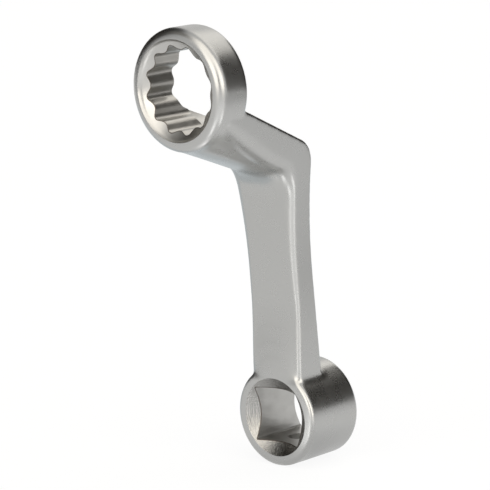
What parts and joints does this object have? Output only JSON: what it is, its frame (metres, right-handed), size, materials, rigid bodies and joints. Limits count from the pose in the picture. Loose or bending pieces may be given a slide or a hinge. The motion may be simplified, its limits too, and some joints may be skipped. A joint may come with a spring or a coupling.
{
  "type": "camber adjustment wrench",
  "caption": "Cranked chrome-plated hand wrench with an offset twelve-point ring at one end and a square drive hub at the other, for turning wheel camber bolts in tight places.",
  "frame": {"origin": "centre of the square drive socket on the hub's front face", "axes": "+Z from the drive axis up the shank to the ring axis, +Y along both tool axes from the front of the hub to its rear, +X across the shank"},
  "size_m": [0.0282, 0.0449, 0.1068],
  "materials": {
    "satin_chrome": "satin chrome plating on forged steel"
  },
  "bodies": {
    "root": {"ring_head": "satin_chrome", "cranked_shank": "satin_chrome", "drive_hub": "satin_chrome"}
  },
  "joints": []
}
